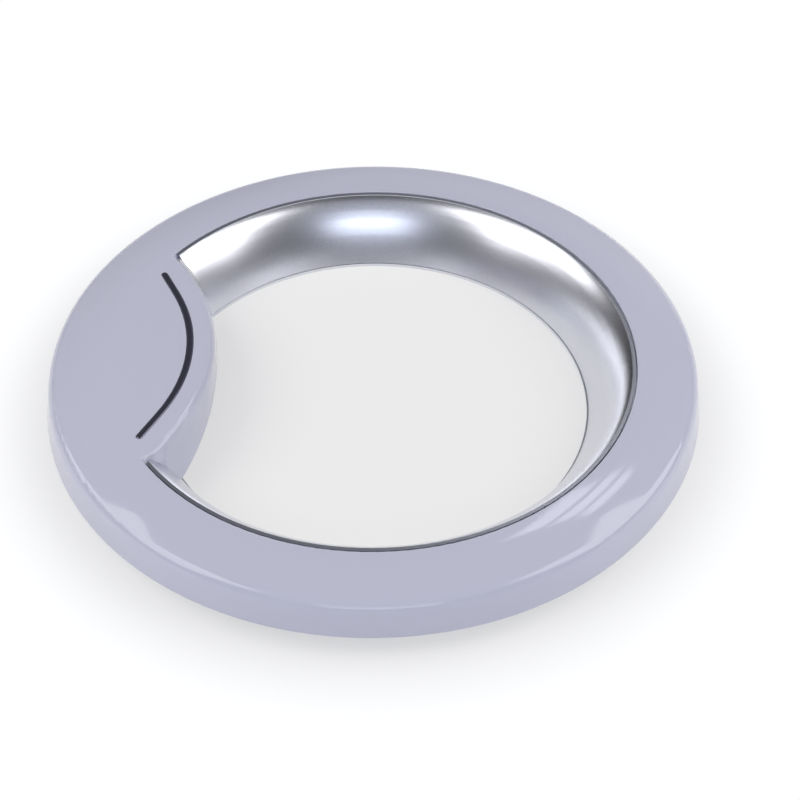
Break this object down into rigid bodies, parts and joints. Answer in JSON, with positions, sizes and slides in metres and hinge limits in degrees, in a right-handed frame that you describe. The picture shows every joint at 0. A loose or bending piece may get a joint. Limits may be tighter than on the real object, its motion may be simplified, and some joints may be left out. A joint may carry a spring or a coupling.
{
  "type": "washing machine door frame",
  "caption": "Round front-loader door frame: white moulded outer ring with a handle lobe over the opening, satin bell-mouth inner ring and a dark strip inlaid in the handle.",
  "frame": {"origin": "on the ring's axis, at the foot of the inner ring, which is the lowest level of the part", "axes": "+Z out of the front of the door, -X towards the handle, +Y towards the top of the door as hung"},
  "size_m": [0.4572, 0.4572, 0.0466],
  "materials": {
    "white_plastic": "high gloss, moulded",
    "satin_metallic": "satin metallic coat on moulded plastic",
    "dark_metallic": "dark satin metallic coat"
  },
  "bodies": {
    "root": {"outer_ring": "white_plastic", "inner_ring": "satin_metallic", "handle_strip": "dark_metallic"}
  },
  "joints": []
}
